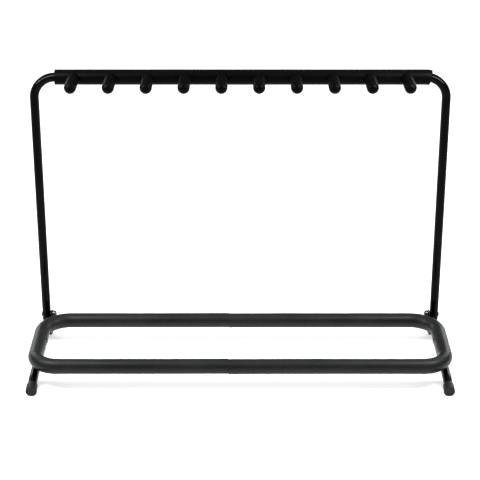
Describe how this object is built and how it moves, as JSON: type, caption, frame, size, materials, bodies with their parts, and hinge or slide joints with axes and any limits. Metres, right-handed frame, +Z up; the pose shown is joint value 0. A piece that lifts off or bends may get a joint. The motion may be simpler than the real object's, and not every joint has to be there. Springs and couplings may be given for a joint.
{
  "type": "guitar rack",
  "caption": "Free-standing folding rack for several guitars: a padded loop near the floor, two bent tube uprights and a padded top rail with padded pegs between the necks.",
  "frame": {"origin": "on the floor, at the centre of the footprint", "axes": "+Z up, -Y towards the front where the pegs and front feet point, +X to the right seen from the front"},
  "size_m": [1.0308, 0.3544, 0.7054],
  "materials": {
    "black_powder_coat": "glossy black powder coat",
    "foam_padding": "matt closed-cell foam with a smooth skin",
    "rubber_cap": "satin black rubber",
    "black_steel_fastener": "blackened steel",
    "nylon": "matt black nylon"
  },
  "bodies": {
    "base_frame": {"base_foam_left": "foam_padding", "base_foam_right": "foam_padding", "base_loop_tube_left": "black_powder_coat", "base_loop_tube_right": "black_powder_coat", "front_foot_cap_left": "rubber_cap", "front_foot_cap_right": "rubber_cap", "hinge_plate_left": "black_powder_coat", "hinge_plate_right": "black_powder_coat", "hinge_rivet_front_left": "black_steel_fastener", "hinge_rivet_front_right": "black_steel_fastener", "hinge_rivet_rear_left": "black_steel_fastener", "hinge_rivet_rear_right": "black_steel_fastener", "pivot_bolt_left": "black_steel_fastener", "pivot_bolt_right": "black_steel_fastener", "pivot_knob_left": "nylon", "pivot_knob_right": "nylon", "pivot_washer_left": "nylon", "pivot_washer_right": "nylon", "rail_screw_front_left": "black_steel_fastener", "rail_screw_front_right": "black_steel_fastener", "rail_screw_rear_left": "black_steel_fastener", "rail_screw_rear_right": "black_steel_fastener", "rail_spacer_front_left": "nylon", "rail_spacer_front_right": "nylon", "rail_spacer_rear_left": "nylon", "rail_spacer_rear_right": "nylon", "rail_stop_plug_left": "nylon", "rail_stop_plug_right": "nylon", "side_rail_left": "black_powder_coat", "side_rail_right": "black_powder_coat"},
    "upright_frame": {"peg_foam_1": "foam_padding", "peg_foam_10": "foam_padding", "peg_foam_2": "foam_padding", "peg_foam_3": "foam_padding", "peg_foam_4": "foam_padding", "peg_foam_5": "foam_padding", "peg_foam_6": "foam_padding", "peg_foam_7": "foam_padding", "peg_foam_8": "foam_padding", "peg_foam_9": "foam_padding", "peg_rod_1": "black_powder_coat", "peg_rod_10": "black_powder_coat", "peg_rod_2": "black_powder_coat", "peg_rod_3": "black_powder_coat", "peg_rod_4": "black_powder_coat", "peg_rod_5": "black_powder_coat", "peg_rod_6": "black_powder_coat", "peg_rod_7": "black_powder_coat", "peg_rod_8": "black_powder_coat", "peg_rod_9": "black_powder_coat", "rear_foot_cap_left": "rubber_cap", "rear_foot_cap_right": "rubber_cap", "top_foam_left": "foam_padding", "top_foam_right": "foam_padding", "upright_tube_left": "black_powder_coat", "upright_tube_right": "black_powder_coat"}
  },
  "joints": [
    {"name": "upright_fold", "type": "hinge", "parent": "base_frame", "child": "upright_frame", "pos_m": [0, 0.1593, 0.054], "axis": [1, 0, 0], "range_deg": [0, 64]}
  ]
}
